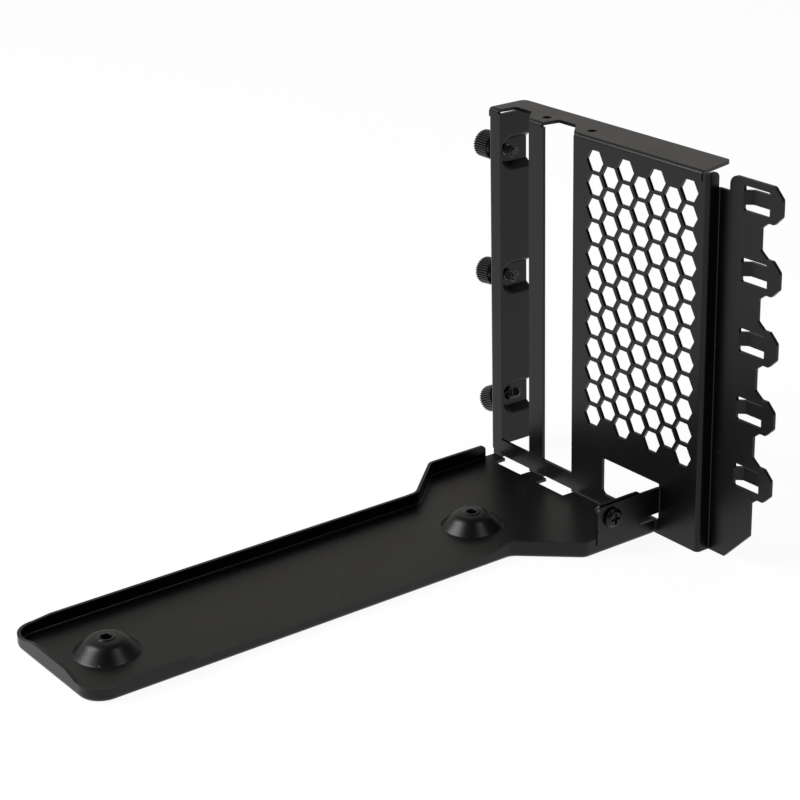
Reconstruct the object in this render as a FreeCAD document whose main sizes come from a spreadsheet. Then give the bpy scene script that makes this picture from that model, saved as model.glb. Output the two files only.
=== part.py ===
# Vertical card mount: a folded slot frame that stands on edge, a shallow riser tray
# screwed to it, and three captive thumbscrews. All sizes are in millimetres.
#
# While it is built, X runs along the slot frame from its side flange to its hooks,
# Y runs back from the frame's front face, and Z runs up from its foot.
import FreeCAD, Part
import math
import os
import re
import Sketcher

os.makedirs("parts", exist_ok=True)
doc = FreeCAD.newDocument("card_mount")

SIZES = {
    # Folded sheet of the slot frame.
    "frame_wall": 1.0,
    "frame_bend": 0.3,
    "frame_height": 114.0,
    "face_end": 94.6,
    "side_out": 0.6,
    "side_depth": 16.4,
    "side_bottom": 1.9,
    "side_top": 111.2,
    "side_corner": 1.5,
    # Two card slots, one standard slot pitch apart.
    "slot_left": 4.8,
    "slot_width": 13.75,
    "slot_bottom": 6.0,
    "slot_pitch": 20.32,
    "slot_count": 2,
    "foot_rise": 0.8,
    # Top flange that the card brackets are screwed to.
    "flange_left": -0.3,
    "flange_right": 92.0,
    "flange_depth": 14.0,
    "flange_slit": 0.6,
    "flange_taper": 2.8,
    "flange_corner": 2.0,
    "notch_lead": 1.0,
    "notch_depth": 6.3,
    "notch_flat": 7.7,
    "notch_corner": 0.8,
    "bracket_hole": 2.7,
    "bracket_hole_x": 20.75,
    "bracket_hole_y": 5.2,
    # Jog and hook strip.
    "strip_step": 4.57,
    "strip_height": 113.8,
    "strip_edge": 110.6,
    "strip_corner": 2.8,
    "strip_bevel": 9.7,
    "relief_floor": 109.0,
    "relief_end": 98.4,
    "return_corner": 1.75,
    "tooth_reach": 7.45,
    "tooth_neck": 2.5,
    "tooth_flank": 2.2,
    "tooth_root": 7.0,
    "tooth_half": 5.1,
    "tooth_tip": 2.45,
    "tooth_round": 0.8,
    "tip_round": 1.2,
    "hook_top": 108.3,
    "hook_pitch": 20.32,
    "hook_count": 5,
    # Lanced straps, one in every hook.
    "strap_left": 103.7,
    "strap_span": 9.8,
    "strap_width": 4.0,
    "strap_gap": 1.5,
    "strap_corner": 0.5,
    "strap_rise": 2.0,
    "strap_lead": 2.0,
    "strap_tail": 1.2,
    # Honeycomb vent field.
    "cell_flats": 6.3,
    "cell_left": 48.27,
    "cell_top": 107.39,
    "cell_column": 6.51,
    "cell_row": 7.19,
    "cell_rows": 12,
    "cell_full_columns": 4,
    # Window and the ear bent out of it.
    "window_left": 53.0,
    "window_right": 78.1,
    "window_bottom": 4.25,
    "window_top": 16.15,
    "window_corner": 1.5,
    "ear_bottom": 7.15,
    "ear_top": 15.1,
    "ear_length": 24.0,
    "ear_corner": 1.75,
    "ear_hole": 3.4,
    # Pressed recesses in the side flange, half-way between the hooks.
    "recess_back": 9.0,
    "recess_top": 98.4,
    "recess_pitch": 40.64,
    "recess_count": 3,
    "recess_depth": 2.9,
    "recess_mouth": 5.3,
    "recess_floor": 3.5,
    "recess_lip": 0.7,
    "recess_lip_drop": 0.35,
    "recess_hole": 3.4,
    # Riser tray, measured forward from the frame's front face.
    "tray_wall": 1.0,
    "tray_bend": 0.5,
    "tray_gap": 1.1,
    "tray_axis": 40.0,
    "tray_wide": 75.0,
    "tray_narrow": 46.2,
    "tray_length": 181.5,
    "tray_corner": 7.0,
    "neck_start": 27.5,
    "neck_end": 43.5,
    "neck_round": 4.0,
    "rim_end": 5.5,
    "rim_corner": 4.0,
    "rim_raised": 5.2,
    "rim_low": 3.25,
    "rim_far": 4.6,
    "corner_flat": 8.6,
    "corner_rise": 5.5,
    "raised_start": 168.7,
    "raised_end": 151.5,
    "step_run": 2.2,
    "low_end": 51.0,
    "low_rise": 9.0,
    "far_end": 5.5,
    "far_round": 1.5,
    "tall_front": 23.1,
    "tall_back": 6.5,
    "tall_top": 15.5,
    "tall_round": 1.5,
    "tall_slit": 0.8,
    "tall_slit_floor": 3.0,
    "floor_notch_left": 7.9,
    "floor_notch_width": 13.0,
    "floor_notch_front": 5.4,
    "floor_notch_corner": 0.5,
    "boss_first": 164.0,
    "boss_spacing": 124.1,
    "boss_base": 17.8,
    "boss_toe": 16.6,
    "boss_toe_rise": 1.45,
    "boss_shoulder": 10.4,
    "boss_shoulder_rise": 3.9,
    "boss_flat": 7.0,
    "boss_top": 5.0,
    "boss_hole": 3.0,
    # Pan-head screw that clamps the ear to the tray.
    "clamp_front": 18.6,
    "clamp_up": 11.15,
    "clamp_head": 6.0,
    "clamp_head_height": 1.8,
    "clamp_bevel": 0.9,
    "clamp_shank": 2.9,
    "clamp_length": 6.0,
    "clamp_hole": 3.0,
    "drive_span": 3.2,
    "drive_width": 0.8,
    "drive_depth": 0.9,
    # Thumbscrews, measured along their own axis.
    "knob_width": 7.92,
    "knob_length": 6.8,
    "knob_bevel": 0.5,
    "neck_width": 2.4,
    "neck_length": 5.2,
    "thread_width": 3.5,
    "thread_length": 3.5,
}

sheet = doc.addObject("Spreadsheet::Sheet", "sizes")
for row, (name, number) in enumerate(SIZES.items(), start=1):
    sheet.set(f"A{row}", name)
    sheet.set(f"B{row}", str(number))
    sheet.setAlias(f"B{row}", name)
doc.recompute()

NAMES = re.compile(r"\b(" + "|".join(SIZES) + r")\b")


def linked(text):
    """Point every size name in an expression at its cell."""
    return NAMES.sub(r"sizes.\1", str(text))


def value(text):
    """Work out an expression over the named sizes."""
    return float(sheet.evalExpression(linked(text)))


def new_body(name):
    """Empty body that will become one sub-part."""
    body = doc.addObject("PartDesign::Body", name)
    body.Label = name
    return body


def role(body, wanted):
    """Origin plane or axis of a body."""
    return next(item for item in body.Origin.OriginFeatures if item.Role == wanted)


def sketch_on(body, name, plane, offset=("0", "0", "0"), turn=0.0):
    """Sketch on an origin plane, moved and turned within that plane's own frame."""
    sketch = body.newObject("Sketcher::SketchObject", name)
    sketch.AttachmentSupport = (role(body, plane), [""])
    sketch.MapMode = "FlatFace"
    if turn:
        spin = FreeCAD.Rotation(FreeCAD.Vector(0, 0, 1), turn)
        sketch.AttachmentOffset = FreeCAD.Placement(FreeCAD.Vector(), spin)
    for axis, move in zip("xyz", offset):
        if move != "0":
            sketch.setExpression(f"AttachmentOffset.Base.{axis}", linked(move))
    return sketch


def bind(sketch, constraint, text):
    """Add a constraint whose number follows an expression."""
    index = sketch.addConstraint(constraint)
    sketch.setExpression(f"Constraints[{index}]", linked(text))


def pin(sketch, item, end, x, y):
    """Hold one point at driven distances from the sketch's origin."""
    bind(sketch, Sketcher.Constraint("DistanceX", -1, 1, item, end, value(x)), x)
    bind(sketch, Sketcher.Constraint("DistanceY", -1, 1, item, end, value(y)), y)


def circle(sketch, x, y, width):
    """Circle given by its centre and diameter."""
    centre = FreeCAD.Vector(value(x), value(y), 0)
    ring = Part.Circle(centre, FreeCAD.Vector(0, 0, 1), value(width) / 2)
    item = sketch.addGeometry(ring)
    pin(sketch, item, 3, x, y)
    bind(sketch, Sketcher.Constraint("Diameter", item, value(width)), width)


def outline(sketch, corners):
    """Closed outline through corners given as (x, y) or, where rounded, (x, y, radius)."""
    points = [FreeCAD.Vector(value(corner[0]), value(corner[1]), 0) for corner in corners]
    radii = [value(corner[2]) if len(corner) > 2 else 0.0 for corner in corners]
    count = len(corners)
    arrive = []
    depart = []
    middle = []
    for index, point in enumerate(points):
        back = (points[index - 1] - point).normalize()
        ahead = (points[(index + 1) % count] - point).normalize()
        half = back.getAngle(ahead) / 2
        reach = radii[index] / math.tan(half)
        arrive.append(point + back * reach)
        depart.append(point + ahead * reach)
        middle.append(point + (back + ahead).normalize() * (radii[index] / math.sin(half)))
    lines = []
    for index in range(count):
        side = Part.LineSegment(depart[index], arrive[(index + 1) % count])
        lines.append(sketch.addGeometry(side))
    for index, (x, y) in enumerate((corner[0], corner[1]) for corner in corners):
        before = lines[index - 1]
        after = lines[index]
        if not radii[index]:
            sketch.addConstraint(Sketcher.Constraint("Coincident", before, 2, after, 1))
            pin(sketch, after, 1, x, y)
            continue
        spoke_in = arrive[index] - middle[index]
        spoke_out = depart[index] - middle[index]
        left_turn = spoke_in.cross(spoke_out).z > 0
        first, last = (spoke_in, spoke_out) if left_turn else (spoke_out, spoke_in)
        ring = Part.Circle(middle[index], FreeCAD.Vector(0, 0, 1), radii[index])
        start_angle = math.atan2(first.y, first.x)
        end_angle = math.atan2(last.y, last.x)
        arc = sketch.addGeometry(Part.ArcOfCircle(ring, start_angle, end_angle))
        entry, leave = (1, 2) if left_turn else (2, 1)
        sketch.addConstraint(Sketcher.Constraint("Tangent", before, 2, arc, entry))
        sketch.addConstraint(Sketcher.Constraint("Tangent", after, 1, arc, leave))
        bind(sketch, Sketcher.Constraint("Radius", arc, radii[index]), corners[index][2])
        mark = sketch.addGeometry(Part.Point(points[index]), True)
        sketch.addConstraint(Sketcher.Constraint("PointOnObject", mark, 1, before))
        sketch.addConstraint(Sketcher.Constraint("PointOnObject", mark, 1, after))
        pin(sketch, mark, 1, x, y)


def arch(sketch, x, y, radius, end_x):
    """U outline: a half circle about (x, y) whose straight legs run to end_x."""
    centre = FreeCAD.Vector(value(x), value(y), 0)
    size = value(radius)
    far = value(end_x)
    top = FreeCAD.Vector(centre.x, centre.y + size, 0)
    low = FreeCAD.Vector(centre.x, centre.y - size, 0)
    top_far = FreeCAD.Vector(far, top.y, 0)
    low_far = FreeCAD.Vector(far, low.y, 0)
    ring = Part.Circle(centre, FreeCAD.Vector(0, 0, 1), size)
    bow = sketch.addGeometry(Part.ArcOfCircle(ring, math.pi / 2, 3 * math.pi / 2))
    lower = sketch.addGeometry(Part.LineSegment(low, low_far))
    mouth = sketch.addGeometry(Part.LineSegment(low_far, top_far))
    upper = sketch.addGeometry(Part.LineSegment(top_far, top))
    sketch.addConstraint(Sketcher.Constraint("Tangent", bow, 2, lower, 1))
    sketch.addConstraint(Sketcher.Constraint("Tangent", bow, 1, upper, 2))
    sketch.addConstraint(Sketcher.Constraint("Coincident", lower, 2, mouth, 1))
    sketch.addConstraint(Sketcher.Constraint("Coincident", mouth, 2, upper, 1))
    sketch.addConstraint(Sketcher.Constraint("Horizontal", lower))
    sketch.addConstraint(Sketcher.Constraint("Horizontal", upper))
    sketch.addConstraint(Sketcher.Constraint("Vertical", mouth))
    pin(sketch, bow, 3, x, y)
    bind(sketch, Sketcher.Constraint("Radius", bow, size), radius)
    bind(sketch, Sketcher.Constraint("DistanceX", -1, 1, mouth, 1, far), end_x)


def grow(body, kind, name, sketch, length=None, reverse=False):
    """Pad or pocket of a sketch; without a length it runs through everything."""
    item = body.newObject(f"PartDesign::{kind}", name)
    item.Profile = sketch
    if length is None:
        item.Type = "ThroughAll"
    else:
        item.setExpression("Length", linked(length))
    item.Reversed = reverse
    doc.recompute()
    return item


def pad(body, name, sketch, length, reverse=False):
    """Material added along the sketch's normal."""
    return grow(body, "Pad", name, sketch, length, reverse)


def pocket(body, name, sketch, length=None, reverse=False):
    """Material removed against the sketch's normal."""
    return grow(body, "Pocket", name, sketch, length, reverse)


def repeat(body, name, originals, axis, pitch, count, reverse=False):
    """Copies of features in a row along an origin axis."""
    item = body.newObject("PartDesign::LinearPattern", name)
    item.Originals = originals
    item.Direction = (role(body, axis), [""])
    item.setExpression("Length", linked(f"({pitch}) * (({count}) - 1)"))
    item.setExpression("Occurrences", linked(count))
    item.Reversed = reverse
    body.Tip = item
    doc.recompute()
    return item


def turned(body, kind, name, sketch, axis):
    """Revolution or groove about one of the sketch's own axes."""
    item = body.newObject(f"PartDesign::{kind}", name)
    item.Profile = sketch
    item.ReferenceAxis = (sketch, [axis])
    item.Angle = 360
    doc.recompute()
    return item


# Outer radius of a bend in the frame's sheet.
OUTER_BEND = "frame_bend + frame_wall"

# Slot frame.
frame = new_body("slot_frame")

# Side flange, face, jog and hook strip are one sheet folded about upright bends.
SIDE_INNER = "frame_wall - side_out"
STRIP_BACK = "strip_step + frame_wall"
RETURN_INNER = "face_end - frame_wall"
STRIP_TIP = "strip_edge + tooth_reach"
sketch = sketch_on(frame, "fold_section", "XY_Plane")
outline(sketch, [
    ("-side_out", "side_depth"),
    ("-side_out", "0", OUTER_BEND),
    ("face_end", "0", OUTER_BEND),
    ("face_end", "strip_step", "frame_bend"),
    (STRIP_TIP, "strip_step"),
    (STRIP_TIP, STRIP_BACK),
    (RETURN_INNER, STRIP_BACK, OUTER_BEND),
    (RETURN_INNER, "frame_wall", "frame_bend"),
    (SIDE_INNER, "frame_wall", "frame_bend"),
    (SIDE_INNER, "side_depth"),
])
pad(frame, "folded_sheet", sketch, "strip_height")

# The face is cut back along its top, and the flange is folded rearward in its place.
ABOVE = "frame_height + 1"
sketch = sketch_on(frame, "top_strip", "XZ_Plane")
outline(sketch, [
    ("-side_out - 1", "side_top"),
    ("flange_right + flange_slit", "side_top"),
    ("flange_right + flange_slit", ABOVE),
    ("-side_out - 1", ABOVE),
])
pocket(frame, "top_trim", sketch)

sketch = sketch_on(frame, "flange_section", "YZ_Plane", ("0", "0", "flange_left"))
outline(sketch, [
    ("0", "side_top"),
    ("0", "frame_height", OUTER_BEND),
    ("flange_depth", "frame_height"),
    ("flange_depth", "frame_height - frame_wall"),
    ("frame_wall", "frame_height - frame_wall", "frame_bend"),
    ("frame_wall", "side_top"),
])
pad(frame, "top_flange", sketch, "flange_right - flange_left")

sketch = sketch_on(frame, "flange_right_end", "XY_Plane", ("0", "0", "frame_height"))
FLANGE_END = "flange_right - flange_taper"
outline(sketch, [
    ("flange_right", OUTER_BEND),
    (FLANGE_END, "flange_depth", "flange_corner"),
    (FLANGE_END + " - 2 * flange_corner", "flange_depth"),
    (FLANGE_END + " - 2 * flange_corner", "flange_depth + 1"),
    ("flange_right + 1", "flange_depth + 1"),
    ("flange_right + 1", OUTER_BEND),
])
pocket(frame, "flange_taper_cut", sketch, OUTER_BEND)

sketch = sketch_on(frame, "flange_left_end", "XY_Plane", ("0", "0", "frame_height"))
outline(sketch, [
    ("flange_left", "flange_depth - 2 * flange_corner"),
    ("flange_left", "flange_depth", "flange_corner"),
    ("flange_left + 2 * flange_corner", "flange_depth"),
    ("flange_left + 2 * flange_corner", "flange_depth + 1"),
    ("flange_left - 1", "flange_depth + 1"),
    ("flange_left - 1", "flange_depth - 2 * flange_corner"),
])
pocket(frame, "flange_corner_cut", sketch, OUTER_BEND)

# Card slots open upward into notches of the flange; the foot is relieved below them.
SLOT_RIGHT = "slot_left + slot_width"
sketch = sketch_on(frame, "slot_shape", "XZ_Plane")
outline(sketch, [
    ("slot_left", "slot_bottom"),
    (SLOT_RIGHT, "slot_bottom"),
    (SLOT_RIGHT, ABOVE),
    ("slot_left", ABOVE),
])
slot = pocket(frame, "card_slot", sketch, OUTER_BEND)

sketch = sketch_on(frame, "slot_foot_shape", "XZ_Plane")
outline(sketch, [
    ("slot_left", "-1"),
    (SLOT_RIGHT, "-1"),
    (SLOT_RIGHT, "foot_rise"),
    ("slot_left", "foot_rise"),
])
slot_foot = pocket(frame, "slot_foot", sketch, OUTER_BEND)

sketch = sketch_on(frame, "notch_shape", "XY_Plane", ("0", "0", "frame_height"))
outline(sketch, [
    ("slot_left - notch_lead", "-1"),
    (SLOT_RIGHT + " + 1", "-1"),
    (SLOT_RIGHT, "0"),
    ("slot_left + notch_flat", "notch_depth", "notch_corner"),
    ("slot_left", "notch_depth", "notch_corner"),
    ("slot_left - notch_lead", "0"),
])
notch = pocket(frame, "bracket_notch", sketch, OUTER_BEND)

sketch = sketch_on(frame, "bracket_hole_shape", "XY_Plane", ("0", "0", "frame_height"))
circle(sketch, "bracket_hole_x", "bracket_hole_y", "bracket_hole")
tapped = pocket(frame, "bracket_screw_hole", sketch, OUTER_BEND)
repeat(frame, "slot_row", [slot, slot_foot, notch, tapped], "X_Axis", "slot_pitch", "slot_count")

# Side flange: shortened at the foot, with its rear corners rounded.
sketch = sketch_on(frame, "side_foot", "XZ_Plane")
outline(sketch, [
    ("-side_out - 1", "-1"),
    (OUTER_BEND + " - side_out", "-1"),
    (OUTER_BEND + " - side_out", "side_bottom"),
    ("-side_out - 1", "side_bottom"),
])
pocket(frame, "side_trim", sketch)

for name, edge, away in (("upper", "side_top", "1"), ("lower", "side_bottom", "-1")):
    sketch = sketch_on(frame, f"side_{name}_corner", "YZ_Plane",
                       ("0", "0", "-side_out - 0.5"))
    outline(sketch, [
        ("side_depth - 2 * side_corner", edge),
        ("side_depth", edge, "side_corner"),
        ("side_depth", f"{edge} - 2 * side_corner * {away}"),
        ("side_depth + 1", f"{edge} - 2 * side_corner * {away}"),
        ("side_depth + 1", f"{edge} + {away}"),
        ("side_depth - 2 * side_corner", f"{edge} + {away}"),
    ])
    pocket(frame, f"side_{name}_cut", sketch, "frame_wall + 1", reverse=True)

# Relief at the top of the jog, and the rounded corners beside it.
sketch = sketch_on(frame, "relief_shape", "XZ_Plane")
outline(sketch, [
    ("face_end", "relief_floor"),
    ("relief_end", "relief_floor"),
    ("relief_end", "strip_height", "strip_corner"),
    ("relief_end + 2 * strip_corner", "strip_height"),
    ("relief_end + 2 * strip_corner", ABOVE),
    ("face_end", ABOVE),
])
pocket(frame, "jog_relief", sketch)

RETURN_DEPTH = "strip_step - frame_bend"
sketch = sketch_on(frame, "return_shape", "YZ_Plane", ("0", "0", "face_end + 1"))
outline(sketch, [
    ("-1", "strip_height"),
    (RETURN_DEPTH, "strip_height", "return_corner"),
    (RETURN_DEPTH, "relief_floor"),
    (STRIP_BACK + " + 1", "relief_floor"),
    (STRIP_BACK + " + 1", ABOVE),
    ("-1", ABOVE),
])
pocket(frame, "return_trim", sketch, "frame_wall + 1.3")

# Hooks: the strip's edge between neighbouring teeth, and its two ends.
NECK_X = "strip_edge + tooth_neck"
FLANK_X = NECK_X + " + tooth_flank"
BEYOND = STRIP_TIP + " + 1"


def tooth_side(centre, side):
    """Half of a tooth's edge, from its tip to its root."""
    return [
        (STRIP_TIP, f"{centre} {side} (tooth_tip - tip_round)"),
        (STRIP_TIP, f"{centre} {side} tooth_tip", "tip_round"),
        (FLANK_X, f"{centre} {side} tooth_half", "tooth_round"),
        (NECK_X, f"{centre} {side} tooth_half", "tooth_round"),
        ("strip_edge", f"{centre} {side} tooth_root", "tooth_round"),
    ]


upper = tooth_side("hook_top", "-")
lower = tooth_side("(hook_top - hook_pitch)", "+")
sketch = sketch_on(frame, "hook_gap_shape", "XZ_Plane")
outline(sketch, upper + lower[::-1] + [(BEYOND, lower[0][1]), (BEYOND, upper[0][1])])
gap = pocket(frame, "hook_gap", sketch)
repeat(frame, "hook_row", [gap], "Z_Axis", "hook_pitch", "hook_count - 1", reverse=True)

last = tooth_side("(hook_top - hook_pitch * (hook_count - 1))", "-")
sketch = sketch_on(frame, "strip_foot_shape", "XZ_Plane")
outline(sketch, last + [
    ("strip_edge", "strip_bevel", "tooth_round"),
    ("strip_edge - strip_bevel - 1", "-1"),
    (BEYOND, "-1"),
    (BEYOND, last[0][1]),
])
pocket(frame, "strip_foot", sketch)

sketch = sketch_on(frame, "top_hook_shape", "XZ_Plane")
outline(sketch, [
    (STRIP_TIP, "hook_top + tooth_tip - tip_round"),
    (STRIP_TIP, "hook_top + tooth_tip", "tip_round"),
    (FLANK_X + " - 0.3", "strip_height", "tip_round"),
    (FLANK_X + " - 3", "strip_height"),
    (FLANK_X + " - 3", ABOVE),
    (BEYOND, ABOVE),
    (BEYOND, "hook_top + tooth_tip - tip_round"),
])
pocket(frame, "top_hook", sketch)

# Straps: a window in the hook, crossed by a band that is pressed rearward.
STRAP_RIGHT = "strap_left + strap_span"
STRAP_HALF = "strap_width / 2 + strap_gap"
sketch = sketch_on(frame, "strap_window_shape", "XZ_Plane")
outline(sketch, [
    ("strap_left", f"hook_top - ({STRAP_HALF})", "strap_corner"),
    (STRAP_RIGHT, f"hook_top - ({STRAP_HALF})", "strap_corner"),
    (STRAP_RIGHT, f"hook_top + {STRAP_HALF}", "strap_corner"),
    ("strap_left", f"hook_top + {STRAP_HALF}", "strap_corner"),
])
strap_window = pocket(frame, "strap_window", sketch)

LEAD_SHIFT = "frame_wall * tan(atan(strap_rise / strap_lead) / 2)"
TAIL_SHIFT = "frame_wall * tan(atan(strap_rise / strap_tail) / 2)"
RAISED_FRONT = "strip_step + strap_rise"
RAISED_BACK = RAISED_FRONT + " + frame_wall"
sketch = sketch_on(frame, "strap_section", "XY_Plane", ("0", "0", "hook_top - strap_width / 2"))
outline(sketch, [
    ("strap_left - 0.5", "strip_step"),
    ("strap_left", "strip_step"),
    ("strap_left + strap_lead", RAISED_FRONT),
    (STRAP_RIGHT + " - strap_tail", RAISED_FRONT),
    (STRAP_RIGHT, "strip_step"),
    (STRAP_RIGHT + " + " + TAIL_SHIFT, "strip_step"),
    (STRAP_RIGHT + " + " + TAIL_SHIFT, STRIP_BACK),
    (STRAP_RIGHT + " - strap_tail + " + TAIL_SHIFT, RAISED_BACK),
    ("strap_left + strap_lead - " + LEAD_SHIFT, RAISED_BACK),
    ("strap_left - " + LEAD_SHIFT, STRIP_BACK),
    ("strap_left - 0.5", STRIP_BACK),
])
strap = pad(frame, "strap", sketch, "strap_width")
repeat(frame, "strap_row", [strap_window, strap], "Z_Axis", "hook_pitch", "hook_count", reverse=True)

# Window, and the ear whose inner face seats on the tray's tall flange.
TRAY_RIGHT = "tray_axis + tray_wide / 2"
EAR_FACE = TRAY_RIGHT + " + frame_wall"
EAR_ROOT = EAR_FACE + " + frame_bend"
sketch = sketch_on(frame, "window_shape", "XZ_Plane")
outline(sketch, [
    ("window_left", "window_bottom", "window_corner"),
    ("window_right", "window_bottom", "window_corner"),
    ("window_right", "ear_bottom"),
    (EAR_ROOT, "ear_bottom"),
    (EAR_ROOT, "ear_top"),
    ("window_right", "ear_top"),
    ("window_right", "window_top", "(window_top - ear_top) / 2"),
    ("window_left", "window_top", "window_corner"),
])
pocket(frame, "tray_window", sketch, OUTER_BEND)

sketch = sketch_on(frame, "ear_bend_section", "XY_Plane", ("0", "0", "ear_bottom"))
outline(sketch, [
    (EAR_FACE, "-frame_bend - 1"),
    (EAR_FACE, "0", "frame_bend"),
    (EAR_ROOT + " + 0.5", "0"),
    (EAR_ROOT + " + 0.5", "frame_wall"),
    (TRAY_RIGHT, "frame_wall", OUTER_BEND),
    (TRAY_RIGHT, "-frame_bend - 1"),
])
pad(frame, "ear_bend", sketch, "ear_top - ear_bottom")

sketch = sketch_on(frame, "ear_shape", "YZ_Plane", ("0", "0", TRAY_RIGHT))
outline(sketch, [
    ("-ear_length", "ear_bottom", "ear_corner"),
    ("-frame_bend - 0.5", "ear_bottom"),
    ("-frame_bend - 0.5", "ear_top"),
    ("-ear_length", "ear_top", "ear_corner"),
])
circle(sketch, "-clamp_front", "clamp_up", "ear_hole")
pad(frame, "ear", sketch, "frame_wall")

# Recesses pressed outward in the side flange and open to its rear edge.
SLOPE = "(recess_mouth - recess_floor) / recess_depth"
SKIN = f"frame_wall / cos(atan({SLOPE}))"
DISH_OUTER = f"recess_mouth + {SKIN} - frame_wall * {SLOPE}"
FLOOR_OUTER = f"{DISH_OUTER} - recess_depth * {SLOPE}"


def dish(kind, name, levels):
    """Tapered U shape through sections across the side flange, each given as (x, radius)."""
    sections = []
    for count, (x, radius) in enumerate(levels, start=1):
        section = sketch_on(frame, f"{name}_{count}", "YZ_Plane", ("0", "0", x))
        arch(section, "recess_back", "recess_top", radius, "side_depth")
        sections.append(section)
    item = frame.newObject(f"PartDesign::{kind}Loft", name)
    item.Profile = sections[0]
    item.Sections = sections[1:]
    item.Ruled = True
    doc.recompute()
    return item


shell = dish("Additive", "recess_shell", [
    ("-side_out", DISH_OUTER),
    ("-side_out - recess_depth", FLOOR_OUTER),
])
hollow = dish("Subtractive", "recess_hollow", [
    (SIDE_INNER, "recess_mouth + recess_lip"),
    (SIDE_INNER + " - recess_lip_drop", f"recess_mouth - recess_lip_drop * {SLOPE}"),
    (SIDE_INNER + " - recess_depth", "recess_floor"),
])
sketch = sketch_on(frame, "recess_hole_shape", "YZ_Plane", ("0", "0", SIDE_INNER))
circle(sketch, "recess_back", "recess_top", "recess_hole")
hole = pocket(frame, "recess_hole", sketch)
repeat(frame, "recess_row", [shell, hollow, hole], "Z_Axis", "recess_pitch", "recess_count",
       reverse=True)

# Honeycomb: full columns and, half a row lower, the shorter columns between them.
CELL_HALF = "cell_flats / sqrt(3)"
for name, shift, columns, rows in (
    ("full", "0", "cell_full_columns", "cell_rows"),
    ("short", "1", "cell_full_columns - 1", "cell_rows - 1"),
):
    left = f"(cell_left + {shift} * cell_column)"
    top = f"(cell_top - {shift} * cell_row / 2)"
    sketch = sketch_on(frame, f"{name}_cell_shape", "XZ_Plane")
    outline(sketch, [
        (f"{left} - {CELL_HALF}", top),
        (f"{left} - {CELL_HALF} / 2", f"{top} - cell_flats / 2"),
        (f"{left} + {CELL_HALF} / 2", f"{top} - cell_flats / 2"),
        (f"{left} + {CELL_HALF}", top),
        (f"{left} + {CELL_HALF} / 2", f"{top} + cell_flats / 2"),
        (f"{left} - {CELL_HALF} / 2", f"{top} + cell_flats / 2"),
    ])
    cell = pocket(frame, f"{name}_cell", sketch, OUTER_BEND)
    cells = repeat(frame, f"{name}_cells", [cell], "X_Axis", "2 * cell_column", columns)
    cells.Direction2 = (role(frame, "Z_Axis"), [""])
    cells.Reversed2 = True
    cells.setExpression("Length2", linked(f"cell_row * ({rows} - 1)"))
    cells.setExpression("Occurrences2", linked(rows))
    doc.recompute()

# Riser tray.
tray = new_body("riser_tray")
TRAY_LEFT = "tray_axis - tray_wide / 2"
NARROW_LEFT = "tray_axis - tray_narrow / 2"
NARROW_RIGHT = "tray_axis + tray_narrow / 2"

# Drawn pan: a solid outline, its lower edge rounded, then hollowed to the sheet's thickness.
sketch = sketch_on(tray, "tray_outline", "XY_Plane")
outline(sketch, [
    (TRAY_LEFT, "-tray_gap"),
    (TRAY_LEFT, "-neck_start", "neck_round"),
    (NARROW_LEFT, "-neck_end", "neck_round"),
    (NARROW_LEFT, "-tray_length", "tray_corner"),
    (NARROW_RIGHT, "-tray_length", "tray_corner"),
    (NARROW_RIGHT, "-neck_end", "neck_round"),
    (TRAY_RIGHT, "-neck_start", "neck_round"),
    (TRAY_RIGHT, "-tray_gap"),
])
block = pad(tray, "tray_block", sketch, "rim_end")

rear = -value("tray_gap")
lower_edges = []
for index, edge in enumerate(block.Shape.Edges, start=1):
    box = edge.BoundBox
    if box.ZMax < 0.01 and box.YMin < rear - 0.01:
        lower_edges.append(f"Edge{index}")
rounded = tray.newObject("PartDesign::Fillet", "tray_rounding")
rounded.Base = (block, lower_edges)
rounded.setExpression("Radius", linked("tray_bend + tray_wall"))
doc.recompute()

open_faces = []
for index, face in enumerate(rounded.Shape.Faces, start=1):
    box = face.BoundBox
    if box.ZMin > value("rim_end") - 0.01 or box.YMin > rear - 0.01:
        open_faces.append(f"Face{index}")
hollowed = tray.newObject("PartDesign::Thickness", "tray_hollow")
hollowed.Base = (rounded, open_faces)
hollowed.setExpression("Value", linked("tray_wall"))
hollowed.Reversed = True
doc.recompute()

# The rim stands at several heights: each trim follows the rim's own top line.
PAST = "rim_end + 1"
NEAR_FROM = "tray_axis + tray_narrow / 2 - corner_flat"
sketch = sketch_on(tray, "near_rim_line", "YZ_Plane", ("0", "0", NEAR_FROM))
outline(sketch, [
    ("-tray_length - 1", "rim_corner"),
    ("-raised_start - corner_rise", "rim_corner"),
    ("-raised_start", "rim_raised"),
    ("-raised_end", "rim_raised"),
    ("-raised_end + step_run", "rim_low"),
    ("-low_end", "rim_low"),
    ("-low_end + low_rise", "rim_raised"),
    ("-tall_front", "rim_raised"),
    ("-tall_front", "rim_far"),
    ("0", "rim_far"),
    ("0", PAST),
    ("-tray_length - 1", PAST),
])
pocket(tray, "near_rim_trim", sketch, reverse=True)

FAR_FROM = "tray_axis - tray_narrow / 2 + corner_flat"
sketch = sketch_on(tray, "far_rim_line", "YZ_Plane", ("0", "0", FAR_FROM))
outline(sketch, [
    ("-tray_length - 1", "rim_corner"),
    ("-raised_start - corner_rise", "rim_corner"),
    ("-raised_start", "rim_far"),
    ("-neck_end - neck_round", "rim_far"),
    ("-neck_start", "rim_raised"),
    ("-far_end", "rim_raised", "far_round"),
    ("-far_end", "tray_wall"),
    ("0", "tray_wall"),
    ("0", PAST),
    ("-tray_length - 1", PAST),
])
pocket(tray, "far_rim_trim", sketch)

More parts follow.
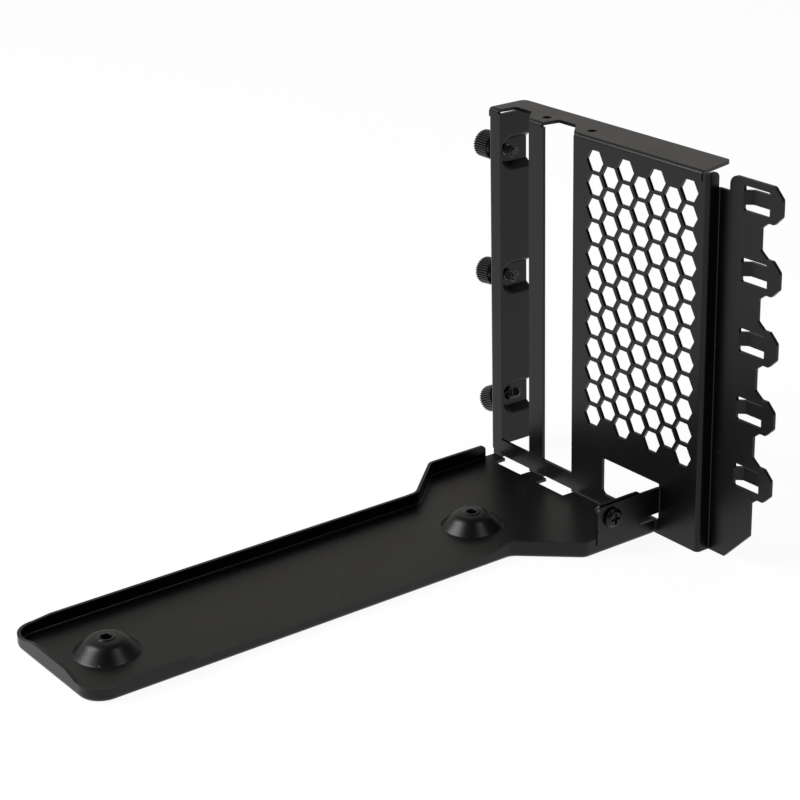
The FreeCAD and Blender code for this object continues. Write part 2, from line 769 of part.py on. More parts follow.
for name, side in (("near", "+"), ("far", "-")):
    corner = f"tray_axis {side} tray_narrow / 2"
    inward = "-" if side == "+" else "+"
    sketch = sketch_on(tray, f"{name}_corner_line", "XZ_Plane", ("0", "0", "tray_length + 1"))
    outline(sketch, [
        (f"{corner} {side} 1", "rim_corner"),
        (f"{corner} {inward} corner_flat", "rim_corner"),
        (f"{corner} {inward} (corner_flat + corner_rise)", "rim_end"),
        (f"{corner} {inward} (corner_flat + corner_rise)", PAST),
        (f"{corner} {side} 1", PAST),
    ])
    pocket(tray, f"{name}_corner_trim", sketch, "tray_corner + 1")

# Tall flange that the ear is clamped to, and the slit that parts it from the rim.
RIM_FOOT = "tray_wall + tray_bend"
sketch = sketch_on(tray, "tall_shape", "YZ_Plane", ("0", "0", TRAY_RIGHT))
outline(sketch, [
    ("-tall_front", RIM_FOOT),
    ("-tall_back", RIM_FOOT),
    ("-tall_back", "tall_top", "tall_round"),
    ("-tall_front", "tall_top", "tall_round"),
])
circle(sketch, "-clamp_front", "clamp_up", "clamp_hole")
pad(tray, "tall_flange", sketch, "tray_wall", reverse=True)

sketch = sketch_on(tray, "slit_shape", "YZ_Plane", ("0", "0", TRAY_RIGHT + " + 1"))
outline(sketch, [
    ("-tall_front - tall_slit", "tall_slit_floor"),
    ("-tall_front", "tall_slit_floor"),
    ("-tall_front", PAST),
    ("-tall_front - tall_slit", PAST),
])
pocket(tray, "tall_flange_slit", sketch, "tray_wall + 2")

# Floor notches in front of the card slots.
sketch = sketch_on(tray, "floor_notch_shape", "XY_Plane")
outline(sketch, [
    ("floor_notch_left", "-floor_notch_front", "floor_notch_corner"),
    ("floor_notch_left + floor_notch_width", "-floor_notch_front", "floor_notch_corner"),
    ("floor_notch_left + floor_notch_width", "0"),
    ("floor_notch_left", "0"),
])
floor_notch = pocket(tray, "floor_notch", sketch, reverse=True)
repeat(tray, "floor_notches", [floor_notch], "X_Axis", "slot_pitch", "slot_count")

# Bosses for the riser board: embossed domes, hollow from below and tapped.
BOSS_SLOPE = "(boss_toe - boss_shoulder) / 2 / (boss_shoulder_rise - boss_toe_rise)"
BOSS_DROP = f"tray_wall * sqrt(1 + 1 / ({BOSS_SLOPE})^2)"
INNER_SHOULDER = f"(boss_shoulder_rise - {BOSS_DROP})"
HOLLOW_MOUTH = f"boss_shoulder / 2 + {INNER_SHOULDER} * {BOSS_SLOPE}"
HOLLOW_TOP = f"boss_shoulder / 2 - (boss_top - tray_wall - {INNER_SHOULDER}) * {BOSS_SLOPE}"
boss_place = ("tray_axis", "0", "boss_first")
sketch = sketch_on(tray, "boss_profile", "XZ_Plane", boss_place)
outline(sketch, [
    ("0", "0"),
    ("boss_base / 2", "0"),
    ("boss_base / 2", "tray_wall"),
    ("boss_toe / 2", "boss_toe_rise"),
    ("boss_shoulder / 2", "boss_shoulder_rise"),
    ("boss_flat / 2", "boss_top"),
    ("0", "boss_top"),
])
boss = turned(tray, "Revolution", "boss", sketch, "V_Axis")

sketch = sketch_on(tray, "boss_hollow_profile", "XZ_Plane", boss_place)
outline(sketch, [
    ("0", "0"),
    (HOLLOW_MOUTH, "0"),
    (HOLLOW_TOP, "boss_top - tray_wall"),
    ("0", "boss_top - tray_wall"),
])
boss_hollow = turned(tray, "Groove", "boss_hollow", sketch, "V_Axis")

sketch = sketch_on(tray, "boss_hole_shape", "XY_Plane")
circle(sketch, "tray_axis", "-boss_first", "boss_hole")
boss_hole = pocket(tray, "boss_hole", sketch, reverse=True)
repeat(tray, "boss_pair", [boss, boss_hollow, boss_hole], "Y_Axis", "boss_spacing", "2")

# Screw that clamps the ear to the tall flange.
clamp = new_body("tray_screw")
clamp_place = (EAR_FACE, "-clamp_front", "clamp_up")
sketch = sketch_on(clamp, "clamp_profile", "XY_Plane", clamp_place)
outline(sketch, [
    ("-clamp_length", "0"),
    ("clamp_head_height", "0"),
    ("clamp_head_height", "clamp_head / 2 - clamp_bevel"),
    ("clamp_head_height - clamp_bevel", "clamp_head / 2"),
    ("0", "clamp_head / 2"),
    ("0", "clamp_shank / 2"),
    ("-clamp_length", "clamp_shank / 2"),
])
turned(clamp, "Revolution", "clamp_body", sketch, "H_Axis")

drive_place = ("-clamp_front", "clamp_up", EAR_FACE + " + clamp_head_height")
sketch = sketch_on(clamp, "drive_shape", "YZ_Plane", drive_place)
ARM = "drive_span / 2"
SIDE = "drive_width / 2"
outline(sketch, [
    (ARM, f"-{SIDE}"), (ARM, SIDE), (SIDE, SIDE),
    (SIDE, ARM), (f"-{SIDE}", ARM), (f"-{SIDE}", SIDE),
    (f"-{ARM}", SIDE), (f"-{ARM}", f"-{SIDE}"), (f"-{SIDE}", f"-{SIDE}"),
    (f"-{SIDE}", f"-{ARM}"), (SIDE, f"-{ARM}"), (SIDE, f"-{SIDE}"),
])
pocket(clamp, "cross_drive", sketch, "drive_depth")

# Thumbscrews. Each hangs loosely in the hole of its recess, held captive by the narrow neck between its
# knob and its thread. Positions along the screw count from the middle of the recess floor.
FLOOR_X = "frame_wall / 2 - side_out - recess_depth"
KNOB_PLACE = (
    # name, row of the recess, tilt in degrees, where the thread begins
    ("top", 0, 0.0, "0.5"),
    ("middle", 1, 6.0, "0.75"),
    ("bottom", 2, 26.0, "1.5"),
)
screws = []
for name, row, tilt, start in KNOB_PLACE:
    screw = new_body(f"thumbscrew_{name}")
    place = (FLOOR_X, f"recess_top - {row} * recess_pitch", "-recess_back")
    sketch = sketch_on(screw, f"{name}_profile", "XZ_Plane", place, tilt)
    knob_start = f"{start} - neck_length"
    knob_end = f"{knob_start} - knob_length"
    tip = f"{start} + thread_length"
    outline(sketch, [
        (knob_end, "0"),
        (tip, "0"),
        (tip, "thread_width / 2"),
        (start, "thread_width / 2"),
        (start, "neck_width / 2"),
        (knob_start, "neck_width / 2"),
        (knob_start, "knob_width / 2"),
        (f"{knob_end} + knob_bevel", "knob_width / 2"),
        (knob_end, "knob_width / 2 - knob_bevel"),
    ])
    turned(screw, "Revolution", f"{name}_screw", sketch, "H_Axis")
    screws.append(screw)

# Common origin: the middle of the whole mount's underside.
parts = [frame, tray, clamp] + screws
corners = []
for body in parts:
    corners.extend(body.Shape.tessellate(0.02)[0])
low_x = min(point.x for point in corners)
high_x = max(point.x for point in corners)
low_y = min(point.y for point in corners)
high_y = max(point.y for point in corners)
low_z = min(point.z for point in corners)
shift = FreeCAD.Vector(-(low_x + high_x) / 2, -(low_y + high_y) / 2, -low_z)
for body in parts:
    body.Placement = FreeCAD.Placement(shift, FreeCAD.Rotation())
doc.recompute()

for item in doc.Objects:
    if item.State != ["Up-to-date"]:
        raise RuntimeError(f"{item.Name} is {item.State}")
for body in parts:
    if not body.Shape.isValid() or len(body.Shape.Solids) != 1:
        raise RuntimeError(f"{body.Label} is not one valid solid")
    body.Shape.exportStep(f"parts/{body.Label}.step")
    print(body.Label, round(body.Shape.Volume, 1))
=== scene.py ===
import bmesh
import bpy
import math
from mathutils import Matrix, Vector


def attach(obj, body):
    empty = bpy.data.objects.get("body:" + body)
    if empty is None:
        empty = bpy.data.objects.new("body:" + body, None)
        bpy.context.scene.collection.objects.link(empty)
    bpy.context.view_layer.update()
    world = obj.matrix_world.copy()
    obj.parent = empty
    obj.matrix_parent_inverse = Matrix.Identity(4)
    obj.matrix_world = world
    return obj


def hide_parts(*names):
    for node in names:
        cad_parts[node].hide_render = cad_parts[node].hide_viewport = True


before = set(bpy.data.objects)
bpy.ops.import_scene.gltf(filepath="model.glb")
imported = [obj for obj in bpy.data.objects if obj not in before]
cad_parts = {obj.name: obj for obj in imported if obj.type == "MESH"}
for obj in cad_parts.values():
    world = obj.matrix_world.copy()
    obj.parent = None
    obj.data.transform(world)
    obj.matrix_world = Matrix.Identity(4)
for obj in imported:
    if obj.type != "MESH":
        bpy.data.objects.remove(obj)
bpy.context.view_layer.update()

# Slot frame: one steel sheet 1 mm thick, laser-cut and punched, then folded: side flange, slotted
# and vented face, top flange, jog and hook strip. The straps and recesses are pressed, and the
# whole sheet is powder coated a fine-textured matt black that rounds its cut edges slightly.
SHEET_EDGE = 0.0002
EDGE_STEPS = 2
SHARPER_THAN = math.radians(32)
FLAT_WITHIN = math.radians(0.6)
WELD_GAP = 0.000002
FLAT_WEIGHT = 90
COAT_BLACK = (0.0007, 0.0006, 0.0005)
COAT_GRAIN = 2600.0
PEEL_DEPTH = 0.00004
CLOUDS_PER_METRE = 45.0
SPECKS_PER_METRE = 190.0
SPECK_RIM = 0.035
SPECK_HEART = 0.02
DUST_GREY = (0.30, 0.29, 0.27)


def add_node(tree, kind, inputs, **settings):
    """New node in a tree; each input is given a plain value or another node's output."""
    node = tree.nodes.new(kind)
    for setting, value in settings.items():
        setattr(node, setting, value)
    for socket, value in inputs.items():
        if isinstance(value, bpy.types.NodeSocket):
            tree.links.new(value, node.inputs[socket])
        else:
            node.inputs[socket].default_value = value
    return node


def maths(tree, operation, *parts):
    """Output of a Math node over numbers and other nodes' outputs."""
    node = add_node(tree, "ShaderNodeMath", dict(enumerate(parts)), operation=operation)
    return node.outputs["Value"]


def coat_grain():
    """Node group: the fine orange peel of a coat, its uneven gloss and a few specks of dust."""
    group = bpy.data.node_groups.new("coat_grain", "ShaderNodeTree")
    for name, kind in (
        ("Grain per metre", "NodeSocketFloat"),
        ("Relief", "NodeSocketFloat"),
        ("Body Colour", "NodeSocketColor"),
        ("Dust Colour", "NodeSocketColor"),
        ("Dust", "NodeSocketFloat"),
        ("Gloss Low", "NodeSocketFloat"),
        ("Gloss High", "NodeSocketFloat"),
    ):
        group.interface.new_socket(name, in_out="INPUT", socket_type=kind)
    for name, kind in (
        ("Colour", "NodeSocketColor"),
        ("Roughness", "NodeSocketFloat"),
        ("Normal", "NodeSocketVector"),
    ):
        group.interface.new_socket(name, in_out="OUTPUT", socket_type=kind)
    given = group.nodes.new("NodeGroupInput")
    place = group.nodes.new("ShaderNodeTexCoord")

    peel = add_node(group, "ShaderNodeTexNoise", {
        "Vector": place.outputs["Object"],
        "Scale": given.outputs["Grain per metre"],
        "Detail": 2.0,
    })
    bump = add_node(group, "ShaderNodeBump", {
        "Height": peel.outputs["Fac"],
        "Strength": given.outputs["Relief"],
        "Distance": PEEL_DEPTH,
    })

    clouds = add_node(group, "ShaderNodeTexNoise", {
        "Vector": place.outputs["Object"],
        "Scale": CLOUDS_PER_METRE,
        "Detail": 3.0,
    })
    sheen = add_node(group, "ShaderNodeMapRange", {
        "Value": clouds.outputs["Fac"],
        "To Min": given.outputs["Gloss Low"],
        "To Max": given.outputs["Gloss High"],
    })

    specks = add_node(group, "ShaderNodeTexVoronoi", {
        "Vector": place.outputs["Object"],
        "Scale": SPECKS_PER_METRE,
    })
    speck = add_node(group, "ShaderNodeMapRange", {
        "Value": specks.outputs["Distance"],
        "From Min": SPECK_RIM,
        "From Max": SPECK_HEART,
    })
    tint = add_node(group, "ShaderNodeMix", {
        "Factor": maths(group, "MULTIPLY", speck.outputs["Result"], given.outputs["Dust"]),
        "A": given.outputs["Body Colour"],
        "B": given.outputs["Dust Colour"],
    }, data_type="RGBA")

    add_node(group, "NodeGroupOutput", {
        "Colour": tint.outputs["Result"],
        "Roughness": sheen.outputs["Result"],
        "Normal": bump.outputs["Normal"],
    })
    return group


COAT = coat_grain()


def coated(name, body, grain, relief, dust, gloss, shine):
    """Material of coated or plated steel; gloss is its roughness range, shine its reflectance."""
    material = bpy.data.materials.new(name)
    material.use_nodes = True
    tree = material.node_tree
    coat = add_node(tree, "ShaderNodeGroup", {
        "Grain per metre": grain,
        "Relief": relief,
        "Body Colour": (*body, 1),
        "Dust Colour": (*DUST_GREY, 1),
        "Dust": dust,
        "Gloss Low": gloss[0],
        "Gloss High": gloss[1],
    }, node_tree=COAT)
    shader = tree.nodes["Principled BSDF"]
    shader.inputs["Specular IOR Level"].default_value = shine
    tree.links.new(coat.outputs["Colour"], shader.inputs["Base Color"])
    tree.links.new(coat.outputs["Roughness"], shader.inputs["Roughness"])
    tree.links.new(coat.outputs["Normal"], shader.inputs["Normal"])
    return material


def baked(item):
    """Turn an object's modifiers into plain mesh, and return that mesh."""
    view = bpy.context.evaluated_depsgraph_get()
    mesh = bpy.data.meshes.new_from_object(item.evaluated_get(view), depsgraph=view)
    item.modifiers.clear()
    item.data = mesh
    mesh.name = item.name
    return mesh


def softened(node, name, width, material, reshape=None):
    """Copy of a solid whose sharp edges are rounded by the thickness of its coat."""
    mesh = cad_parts[node].data.copy()
    work = bmesh.new()
    work.from_mesh(mesh)
    bmesh.ops.remove_doubles(work, verts=work.verts, dist=WELD_GAP)
    bmesh.ops.dissolve_limit(work, angle_limit=FLAT_WITHIN, verts=work.verts, edges=work.edges)
    if reshape:
        reshape(work)
    work.to_mesh(mesh)
    work.free()
    mesh.materials.clear()
    mesh.materials.append(material)
    piece = bpy.data.objects.new(name, mesh)
    bpy.context.scene.collection.objects.link(piece)
    bevel = piece.modifiers.new("coat edge", "BEVEL")
    bevel.width = width
    bevel.segments = EDGE_STEPS
    bevel.limit_method = "ANGLE"
    bevel.angle_limit = SHARPER_THAN
    for face in mesh.polygons:
        face.use_smooth = True
    flat = piece.modifiers.new("flat sheet", "WEIGHTED_NORMAL")
    flat.mode = "FACE_AREA"
    flat.weight = FLAT_WEIGHT
    baked(piece)
    return piece


frame_coat = coated("frame_powder_coat", body=COAT_BLACK, grain=COAT_GRAIN, relief=0.35, dust=0.5,
                    gloss=(0.30, 0.38), shine=0.29)
slot_frame = softened("slot_frame", "slot_frame_coated", SHEET_EDGE, frame_coat)
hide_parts("slot_frame")
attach(slot_frame, "mount")

# Riser tray: a pressed steel pan 1 mm thick with a low rim and two bosses for the riser board,
# drawn to a dome with a small raised ring round each tapped hole. It is coated like the frame,
# and as it has lain about more, it carries a little more dust.
BOSS_MIDDLES = ((-0.01175, -0.08145), (-0.01175, 0.04265))
PLAIN_BOSS_RADIUS = 0.0089
CUT_MARGIN = 0.00002
OPENING_RADIUS = 0.0104
MID_SHEET = 0.0005
DOME_STEPS = 72
# Radius and height in mm: up the dome, over its ring, down the hole and out along the underside.
DOME_SECTION_MM = (
    (9.6, 1.0), (9.45, 1.05), (9.25, 1.18), (9.0, 1.42), (8.1, 2.31), (7.2, 3.2), (6.4, 4.0),
    (6.0, 4.33), (5.5, 4.64), (5.0, 4.86), (4.4, 5.02), (3.7, 5.1), (3.0, 5.13), (2.6, 5.14),
    (2.5, 5.2), (2.38, 5.29), (2.25, 5.35), (2.1, 5.38), (1.75, 5.38), (1.62, 5.34), (1.53, 5.24),
    (1.5, 5.1), (1.5, 4.2), (3.0, 4.12), (4.5, 3.9), (5.4, 3.4), (6.3, 2.6), (7.2, 1.7),
    (7.9, 0.9), (8.2, 0.4), (8.52, 0.0),
)


def lathed(work, profile, around, middle=(0.0, 0.0)):
    """Skin turned round an upright axis from radius and height pairs, as its rings and bands."""
    turns = [2 * math.pi * step / around for step in range(around)]
    rings = []
    for radius, height in profile:
        rings.append([work.verts.new((middle[0] + radius * math.cos(turn),
                                      middle[1] + radius * math.sin(turn), height))
                      for turn in turns])
    bands = []
    for first, second in zip(rings, rings[1:]):
        corners = zip(first, first[1:] + first[:1], second[1:] + second[:1], second)
        bands.append([work.faces.new(four) for four in corners])
    return rings, bands


def domed(work):
    """Cut each plain boss out, widen its opening in the sheet and draw the dome in its place."""
    section = [(radius / 1000, height / 1000) for radius, height in DOME_SECTION_MM]
    for middle in BOSS_MIDDLES:
        centre = Vector(middle)
        plain = [face for face in work.faces
                 if all((corner.co.xy - centre).length < PLAIN_BOSS_RADIUS + CUT_MARGIN
                        for corner in face.verts)]
        bmesh.ops.delete(work, geom=plain, context="FACES")
        rims = [edge for edge in work.edges if edge.is_boundary]
        for corner in {corner for edge in rims for corner in edge.verts}:
            out = corner.co.xy - centre
            corner.co.xy = centre + out * OPENING_RADIUS / out.length
        rings, bands = lathed(work, section, DOME_STEPS, middle)
        upper = [edge for edge in rims if edge.verts[0].co.z > MID_SHEET]
        lower = [edge for edge in rims if edge.verts[0].co.z < MID_SHEET]
        for rim, ring in ((upper, rings[0]), (lower, rings[-1])):
            loop = [edge for edge in work.edges
                    if edge.is_boundary and set(edge.verts) <= set(ring)]
            bmesh.ops.bridge_loops(work, edges=rim + loop)
    bmesh.ops.recalc_face_normals(work, faces=work.faces)


tray_coat = coated("tray_powder_coat", body=COAT_BLACK, grain=COAT_GRAIN, relief=0.35, dust=0.8,
                   gloss=(0.30, 0.38), shine=0.31)
riser_tray = softened("riser_tray", "riser_tray_coated", SHEET_EDGE, tray_coat, domed)
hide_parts("riser_tray")
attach(riser_tray, "mount")

# Tray screw: a small cross-recessed pan-head machine screw in blackened steel, driven through the
# frame's ear into the tray's tall flange to clamp the two together.
SCREW_EDGE = 0.0003
STEEL_BLACK = (0.0015, 0.0014, 0.0012)
STEEL_GRAIN = 900.0
blackened = coated("screw_blacking", body=STEEL_BLACK, grain=STEEL_GRAIN, relief=0.2, dust=0.0,
                   gloss=(0.30, 0.38), shine=0.3)
tray_screw = softened("tray_screw", "tray_screw_blacked", SCREW_EDGE, blackened)
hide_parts("tray_screw")
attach(tray_screw, "mount")

# Thumbscrews: three captive case screws turned from steel: a knurled knob, a narrow neck that
# keeps the screw in its recess, and a short coarse thread, all black plated. The thread is given
# a lighter grey steel colour as a painted highlight for the glints on its crests.
# They hang loosely, so each has come to rest at an angle of its own.
KNOB_RADIUS = 0.0043
KNOB_LENGTH = 0.0068
KNOB_BEVEL = 0.0005
DISH_RIM = 0.0012
DISH_FLOOR = 0.0014
DISH_DEPTH = 0.00025
RIDGES = 34
RIDGE_RADIUS = 0.00027
RIDGE_SIDES = 16
GROOVE_DEPTH = 0.00045
NECK_RADIUS = 0.0012
NECK_LENGTH = 0.0052
COLLAR = ((0.0001, 0.0), (0.0002, 0.0001), (0.0, 0.0003))
TIP_BEVEL = 0.0003
THREAD_RADIUS = 0.00175
THREAD_LENGTH = 0.0035
THREAD_PITCH = 0.000794
THREAD_HEIGHT = 0.00025
THREAD_SIDES = 14
THREAD_LEAD = 0.0002
PLAIN_ENDS = 0.0006
WOUND_LENGTH = THREAD_LENGTH - PLAIN_ENDS
STEPS_A_TURN = 40
BLANK_STEPS = 96
CREASE_ANGLE = math.radians(28)
HOLE_ACROSS = -0.05475
HOLE_ALONG = 0.09155


def turned_blank(start):
    """Lathe-turned screw along +Z before knurling and threading; its thread begins at start."""
    core = KNOB_RADIUS - GROOVE_DEPTH
    root = THREAD_RADIUS - THREAD_HEIGHT
    knob = start - NECK_LENGTH
    cap = knob - KNOB_LENGTH
    tip = start + THREAD_LENGTH
    dished_end = [(core - DISH_FLOOR, cap + DISH_DEPTH), (core - DISH_RIM, cap)]
    knurled_side = [(core - KNOB_BEVEL, cap), (core, cap + KNOB_BEVEL),
                    (core, knob - KNOB_BEVEL), (core - KNOB_BEVEL, knob)]
    neck = [(NECK_RADIUS, knob), (NECK_RADIUS, start)]
    collar = [(root + out, start + along) for out, along in COLLAR]
    shank = [(root, tip - TIP_BEVEL), (root - TIP_BEVEL, tip)]
    work = bmesh.new()
    profile = dished_end + knurled_side + neck + collar + shank
    rings, bands = lathed(work, profile, BLANK_STEPS)
    # Painted shade: the knob's core between the ridges takes a dull, barely reflective material.
    for face in bands[len(dished_end) + 1]:
        face.material_index = 1
    work.faces.new(rings[0][::-1])
    work.faces.new(rings[-1])
    bmesh.ops.recalc_face_normals(work, faces=work.faces)
    mesh = bpy.data.meshes.new("turned_blank")
    work.to_mesh(mesh)
    work.free()
    mesh.materials.append(plated)
    mesh.materials.append(dull_floor_shade)
    return mesh


def knurl_and_thread():
    """Geometry nodes: rolled ridges round the knob and a helical thread on the shank."""
    tree = bpy.data.node_groups.new("knurl_and_thread", "GeometryNodeTree")
    for kind, names in (
        ("NodeSocketGeometry", ("Blank",)),
        ("NodeSocketInt", ("Ridges",)),
        ("NodeSocketFloat", ("Ridge Circle", "Ridge Radius", "Ridge Length", "Ridge Middle",
                             "Thread Start", "Thread Length", "Thread Turns", "Thread Radius",
                             "Thread Height")),
        ("NodeSocketMaterial", ("Metal", "Shaded Floor Metal", "Thread Metal")),
    ):
        for name in names:
            tree.interface.new_socket(name, in_out="INPUT", socket_type=kind)
    tree.interface.new_socket("Screw", in_out="OUTPUT", socket_type="NodeSocketGeometry")
    given = tree.nodes.new("NodeGroupInput")

    def raised(shape, height):
        """The shape moved along the screw."""
        offset = add_node(tree, "ShaderNodeCombineXYZ", {"Z": height})
        moved = add_node(tree, "GeometryNodeTransform", {
            "Geometry": shape,
            "Translation": offset.outputs["Vector"],
        })
        return moved.outputs["Geometry"]

    circle = add_node(tree, "GeometryNodeMeshCircle", {
        "Vertices": given.outputs["Ridges"],
        "Radius": given.outputs["Ridge Circle"],
    })
    ridge = add_node(tree, "GeometryNodeMeshCylinder", {
        "Vertices": RIDGE_SIDES,
        "Radius": given.outputs["Ridge Radius"],
        "Depth": given.outputs["Ridge Length"],
    })
    place = tree.nodes.new("GeometryNodeInputPosition")
    outward = add_node(tree, "FunctionNodeAlignRotationToVector", {
        "Vector": place.outputs["Position"],
    }, axis="X", pivot_axis="Z")
    spread = add_node(tree, "GeometryNodeInstanceOnPoints", {
        "Points": circle.outputs["Mesh"],
        "Instance": ridge.outputs["Mesh"],
        "Rotation": outward.outputs["Rotation"],
    })
    knurl = raised(spread.outputs["Instances"], given.outputs["Ridge Middle"])

    helix = add_node(tree, "GeometryNodeCurveSpiral", {
        "Resolution": STEPS_A_TURN,
        "Rotations": given.outputs["Thread Turns"],
        "Start Radius": given.outputs["Thread Radius"],
        "End Radius": given.outputs["Thread Radius"],
        "Height": given.outputs["Thread Length"],
    })
    upright = add_node(tree, "GeometryNodeSetCurveNormal", {
        "Curve": helix.outputs["Curve"],
    }, mode="Z_UP")
    profile = add_node(tree, "GeometryNodeCurvePrimitiveCircle", {
        "Resolution": THREAD_SIDES,
        "Radius": given.outputs["Thread Height"],
    })
    wound = add_node(tree, "GeometryNodeCurveToMesh", {
        "Curve": upright.outputs["Curve"],
        "Profile Curve": profile.outputs["Curve"],
        "Fill Caps": True,
    })
    # Painted highlight: the thread takes a lighter grey material that stands in for glints on its
    # crests.
    glint_painted_thread = add_node(tree, "GeometryNodeSetMaterial", {
        "Geometry": wound.outputs["Mesh"],
        "Material": given.outputs["Thread Metal"],
    })
    thread = raised(glint_painted_thread.outputs["Geometry"], given.outputs["Thread Start"])

    together = tree.nodes.new("GeometryNodeJoinGeometry")
    for shape in (thread, knurl, given.outputs["Blank"]):
        tree.links.new(shape, together.inputs["Geometry"])
    real = add_node(tree, "GeometryNodeRealizeInstances", {
        "Geometry": together.outputs["Geometry"],
    })
    in_painted_shade, on_thread = (
        add_node(tree, "GeometryNodeMaterialSelection", {"Material": given.outputs[name]})
        for name in ("Shaded Floor Metal", "Thread Metal"))
    elsewhere = add_node(tree, "FunctionNodeBooleanMath", {
        0: in_painted_shade.outputs["Selection"],
        1: on_thread.outputs["Selection"],
    }, operation="NOR")
    metal = add_node(tree, "GeometryNodeSetMaterial", {
        "Geometry": real.outputs["Geometry"],
        "Selection": elsewhere.outputs["Boolean"],
        "Material": given.outputs["Metal"],
    })
    add_node(tree, "NodeGroupOutput", {"Screw": metal.outputs["Geometry"]})
    return tree


plated = coated("black_plating", body=STEEL_BLACK, grain=STEEL_GRAIN, relief=0.1, dust=0.0,
                gloss=(0.17, 0.24), shine=0.38)
# Painted shade: a dull, barely reflective steel for the floors between the knurl's ridges.
dull_floor_shade = coated("knurl_floors_painted_shade", body=STEEL_BLACK, grain=STEEL_GRAIN, relief=0.2, dust=0.0,
                gloss=(0.55, 0.65), shine=0.05)
# Painted highlight: a lighter grey steel for the thread, standing in for the glints on its crests.
thread_glint_grey = coated("thread_painted_glints", body=(0.16, 0.145, 0.13), grain=STEEL_GRAIN, relief=0.1, dust=0.0,
                gloss=(0.25, 0.35), shine=0.6)
SCREW_TREE = knurl_and_thread()
for name, body, height, tilt, spin, start in (
    ("top", "top_screw", 0.0984, 0.0, 10.0, 0.0005),
    ("middle", "middle_screw", 0.05776, 6.0, 47.0, 0.00075),
    ("bottom", "bottom_screw", 0.01712, 26.0, 95.0, 0.0015),
):
    screw = bpy.data.objects.new(f"thumbscrew_{name}_plated", turned_blank(start))
    bpy.context.scene.collection.objects.link(screw)
    forming = screw.modifiers.new("knurl and thread", "NODES")
    forming.node_group = SCREW_TREE
    values = {
        "Ridges": RIDGES,
        "Ridge Circle": KNOB_RADIUS - RIDGE_RADIUS,
        "Ridge Radius": RIDGE_RADIUS,
        "Ridge Length": KNOB_LENGTH - 2 * KNOB_BEVEL,
        "Ridge Middle": start - NECK_LENGTH - KNOB_LENGTH / 2,
        "Thread Start": start + THREAD_LEAD,
        "Thread Length": WOUND_LENGTH,
        "Thread Turns": WOUND_LENGTH / THREAD_PITCH,
        "Thread Radius": THREAD_RADIUS - THREAD_HEIGHT,
        "Thread Height": THREAD_HEIGHT,
        "Metal": plated,
        "Shaded Floor Metal": dull_floor_shade,
        "Thread Metal": thread_glint_grey,
    }
    for item in SCREW_TREE.interface.items_tree:
        if item.name in values and item.in_out == "INPUT":
            forming[item.identifier] = values[item.name]
    mesh = baked(screw)
    hang = Matrix.Rotation(math.radians(-tilt), 4, "Y")
    lay = Matrix.Rotation(math.radians(90), 4, "Y") @ Matrix.Rotation(math.radians(spin), 4, "Z")
    mesh.transform(Matrix.Translation((HOLE_ACROSS, HOLE_ALONG, height)) @ hang @ lay)
    mesh.set_sharp_from_angle(angle=CREASE_ANGLE)
    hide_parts(f"thumbscrew_{name}")
    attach(screw, body)

# Studio: a flat sheet of white paper that shines white to the camera and in reflections, except
# where the tray covers it. The sky fades overhead and to the right. A broad lamp hangs high on
# the left and a smaller one higher on the right, and the camera is fitted to the photograph.
FLOOR_REACH = 40.0
FLOOR_DROP = 0.00005
PAPER_WHITE = (0.8, 0.8, 0.8, 1)
GLOW_STRENGTH = 1.04
GLOW_SHARE = 0.9
COVERED_MIDDLE = (-0.01175, -0.0165, 0.0)
COVERED_HALF = (0.017, 0.0765, 1.0)
SKY_COLOUR = (1.0, 0.97, 0.93, 1)
SKY_AT_HORIZON = 0.58
SKY_OVERHEAD = 0.12
SKY_CURVE = 2.0
LEFT_SHARE = 1.15
RIGHT_SHARE = 0.1
LAMP_AIM = Vector((0, 0, 0.03))
CAMERA_TURN = (54.067, 22.083, -1.458)
CAMERA_PLACE = (0.453689, -0.319995, 0.280981)

floor_mesh = bpy.data.meshes.new("floor")
floor_mesh.from_pydata([(x * FLOOR_REACH, y * FLOOR_REACH, 0)
                        for x, y in ((-1, -1), (1, -1), (1, 1), (-1, 1))], [], [(0, 1, 2, 3)])
floor = bpy.data.objects.new("floor", floor_mesh)
floor.location.z = -FLOOR_DROP
bpy.context.scene.collection.objects.link(floor)
paper = bpy.data.materials.new("white_paper")
paper.use_nodes = True
paper_tree = paper.node_tree
shader = paper_tree.nodes["Principled BSDF"]
shader.inputs["Base Color"].default_value = PAPER_WHITE
shader.inputs["Roughness"].default_value = 1.0
shader.inputs["Specular IOR Level"].default_value = 0.0
glow = add_node(paper_tree, "ShaderNodeEmission", {"Strength": GLOW_STRENGTH})
ray = paper_tree.nodes.new("ShaderNodeLightPath")
shown = maths(paper_tree, "MAXIMUM", ray.outputs["Is Camera Ray"], ray.outputs["Is Glossy Ray"])
seen = maths(paper_tree, "MAXIMUM", shown, ray.outputs["Is Transmission Ray"])
place = paper_tree.nodes.new("ShaderNodeTexCoord")
covered = add_node(paper_tree, "ShaderNodeMapping", {
    "Vector": place.outputs["Object"],
    "Location": COVERED_MIDDLE,
    "Scale": COVERED_HALF,
}, vector_type="TEXTURE")
spot = add_node(paper_tree, "ShaderNodeSeparateXYZ", {"Vector": covered.outputs["Vector"]})
reach = [maths(paper_tree, "ABSOLUTE", spot.outputs[axis]) for axis in "XY"]
open_floor = maths(paper_tree, "GREATER_THAN", maths(paper_tree, "MAXIMUM", *reach), 1.0)
shining = maths(paper_tree, "MULTIPLY", seen, open_floor)
blend = add_node(paper_tree, "ShaderNodeMixShader", {
    0: maths(paper_tree, "MULTIPLY", shining, GLOW_SHARE),
    1: shader.outputs["BSDF"],
    2: glow.outputs["Emission"],
})
surface = paper_tree.nodes["Material Output"].inputs["Surface"]
paper_tree.links.new(blend.outputs["Shader"], surface)
floor_mesh.materials.append(paper)

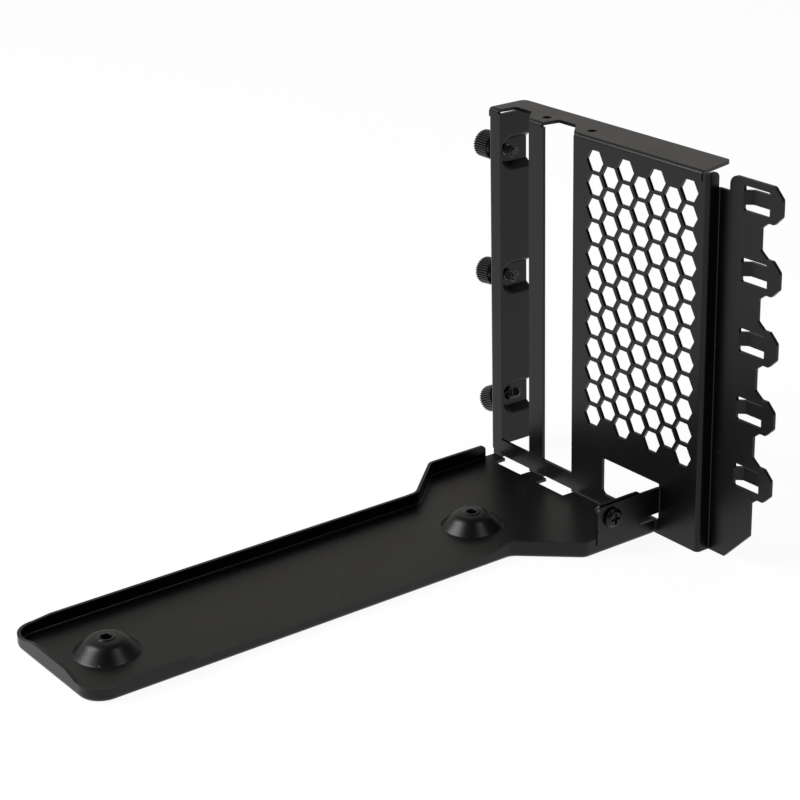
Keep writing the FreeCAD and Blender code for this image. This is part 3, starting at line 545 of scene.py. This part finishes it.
world = bpy.data.worlds.new("studio")
world.use_nodes = True
bpy.context.scene.world = world
sky_tree = world.node_tree
aim = sky_tree.nodes.new("ShaderNodeTexCoord")
towards = add_node(sky_tree, "ShaderNodeSeparateXYZ", {"Vector": aim.outputs["Generated"]})
overhead = add_node(sky_tree, "ShaderNodeMapRange", {
    "Value": maths(sky_tree, "POWER", towards.outputs["Z"], SKY_CURVE),
    "To Min": SKY_AT_HORIZON,
    "To Max": SKY_OVERHEAD,
})
to_right = add_node(sky_tree, "ShaderNodeMapRange", {
    "Value": towards.outputs["X"],
    "From Min": -1.0,
    "To Min": LEFT_SHARE,
    "To Max": RIGHT_SHARE,
})
strength = maths(sky_tree, "MULTIPLY", overhead.outputs["Result"], to_right.outputs["Result"])
sky = sky_tree.nodes["Background"]
sky.inputs["Color"].default_value = SKY_COLOUR
sky_tree.links.new(strength, sky.inputs["Strength"])


def lamp(name, place, size, power):
    """Square soft box aimed at the mount."""
    light = bpy.data.lights.new(name, "AREA")
    light.size = size
    light.energy = power
    item = bpy.data.objects.new(name, light)
    item.location = place
    item.rotation_euler = (LAMP_AIM - Vector(place)).to_track_quat("-Z", "Y").to_euler()
    bpy.context.scene.collection.objects.link(item)


lamp("key", (-0.573, -0.71, 0.923), size=0.7, power=13.0)
lamp("back light", (0.535, 0.33, 1.104), size=0.36, power=1.6)

azimuth, elevation, roll = (math.radians(angle) for angle in CAMERA_TURN)
back = Vector((math.sin(azimuth) * math.cos(elevation),
               -math.cos(azimuth) * math.cos(elevation),
               math.sin(elevation)))
across = Vector((0, 0, 1)).cross(back).normalized()
over = back.cross(across)
right = across * math.cos(roll) + over * math.sin(roll)
up = over * math.cos(roll) - across * math.sin(roll)
eye = bpy.data.cameras.new("camera")
eye.lens = 98.25
eye.sensor_width = 36.0
camera = bpy.data.objects.new("camera", eye)
camera.matrix_world = Matrix((*zip(right, up, back, CAMERA_PLACE), (0, 0, 0, 1)))
bpy.context.scene.collection.objects.link(camera)
bpy.context.scene.camera = camera
bpy.context.scene.view_settings.view_transform = "Standard"
